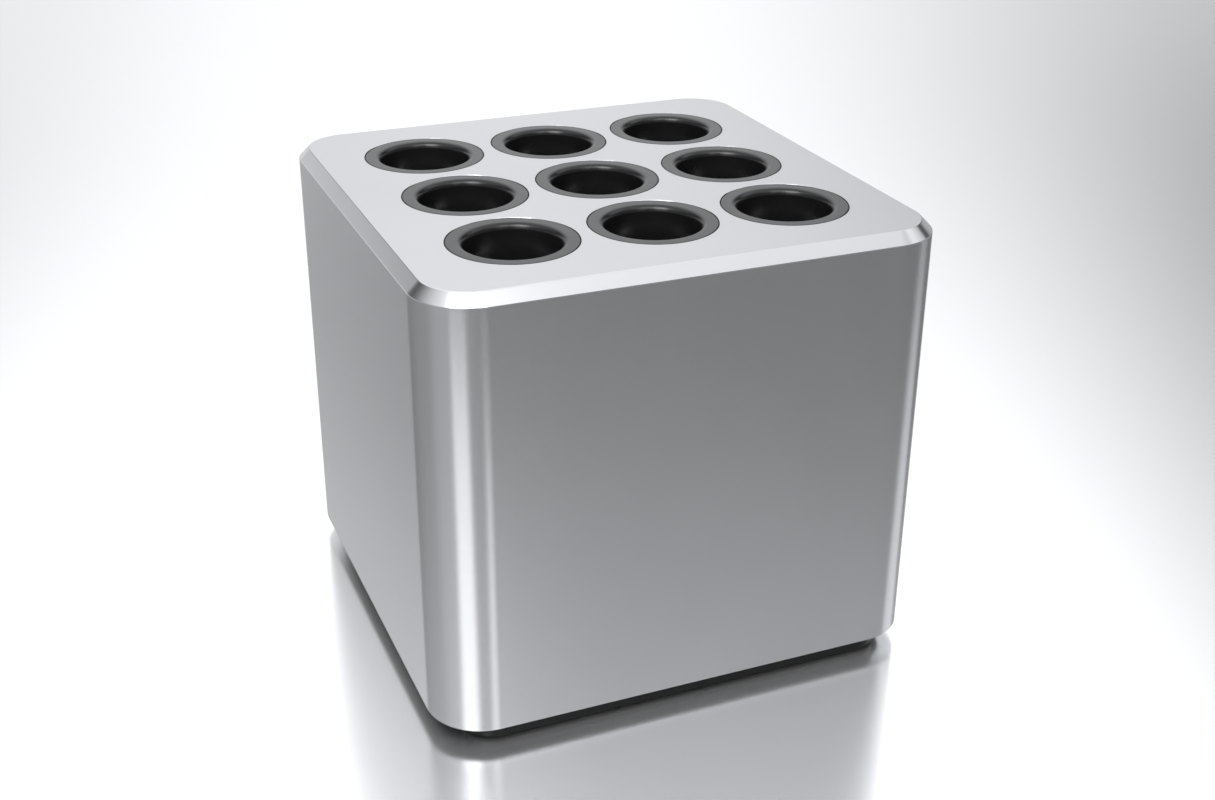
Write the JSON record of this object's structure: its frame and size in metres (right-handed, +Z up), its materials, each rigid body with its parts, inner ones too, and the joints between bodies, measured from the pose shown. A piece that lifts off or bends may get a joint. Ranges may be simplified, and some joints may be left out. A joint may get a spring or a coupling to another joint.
{
  "type": "dry block heater",
  "caption": "Compact dry block heater: an aluminium cube with a square grid of collared tube wells in its deck, a recessed black base and a recessed rear control bay.",
  "frame": {"origin": "on the bench, under the middle of the housing", "axes": "+Z up, -Y towards the front, +Y towards the control bay, +X to the right of someone facing the front"},
  "size_m": [0.1, 0.1, 0.09],
  "materials": {
    "housing": "bead-blasted and clear anodised, satin",
    "collar": "moulded heat-resistant plastic, satin grey-black",
    "block": "machined aluminium",
    "insulation": "felted mineral fibre board",
    "heater_mat": "silicone rubber heater mat",
    "sheet_steel": "zinc-plated sheet",
    "ceramic": "steatite or heat-resistant plastic spacer",
    "screw": "stainless steel",
    "standoff": "nickel-free brass, turned",
    "black_plastic": "moulded black plastic, fine matt grain",
    "foot": "matt rubber",
    "circuit": "printed circuit board with components",
    "panel": "black anodised aluminium",
    "power_lens": "tinted clear plastic",
    "heat_lens": "tinted clear plastic",
    "lead": "silicone-covered wire"
  },
  "bodies": {
    "heater": {"housing": "housing", "well_collar_1": "collar", "well_collar_2": "collar", "well_collar_3": "collar", "well_collar_4": "collar", "well_collar_5": "collar", "well_collar_6": "collar", "well_collar_7": "collar", "well_collar_8": "collar", "well_collar_9": "collar", "heater_block": "block", "top_insulation": "insulation", "insulation_wrap": "insulation", "insulation_pad": "insulation", "heater_mat": "heater_mat", "block_tray": "sheet_steel", "block_spacer_1": "ceramic", "block_spacer_2": "ceramic", "block_spacer_3": "ceramic", "block_spacer_4": "ceramic", "block_screw_1": "screw", "block_screw_2": "screw", "block_screw_3": "screw", "block_screw_4": "screw", "base_screw_1": "screw", "base_screw_2": "screw", "base_screw_3": "screw", "base_screw_4": "screw", "panel_screw_1": "screw", "panel_screw_2": "screw", "inlet_nut": "screw", "temperature_probe": "screw", "corner_standoff_1": "standoff", "corner_standoff_2": "standoff", "corner_standoff_3": "standoff", "corner_standoff_4": "standoff", "thermal_cutout": "black_plastic", "base_plate": "black_plastic", "power_transistor": "black_plastic", "input_capacitor": "black_plastic", "rear_shroud": "black_plastic", "dc_inlet": "black_plastic", "switch_body": "black_plastic", "foot_1": "foot", "foot_2": "foot", "foot_3": "foot", "foot_4": "foot", "controller_board": "circuit", "terminal_block": "circuit", "potentiometer_body": "circuit", "rear_panel": "panel", "heat_sink": "panel", "power_lens": "power_lens", "heat_lens": "heat_lens", "heater_lead": "lead", "probe_lead": "lead", "power_lead": "lead"},
    "rocker": {"switch_rocker": "black_plastic"},
    "knob": {"temperature_knob": "black_plastic", "potentiometer_shaft": "screw"}
  },
  "joints": [
    {"name": "power_switch", "type": "hinge", "parent": "heater", "child": "rocker", "pos_m": [0.0025, 0.044, 0.017], "axis": [0, 0, -1], "range_deg": [0, 22]},
    {"name": "temperature_dial", "type": "hinge", "parent": "heater", "child": "knob", "pos_m": [-0.0135, 0.0448, 0.017], "axis": [0, -1, 0], "range_deg": [0, 270]}
  ]
}
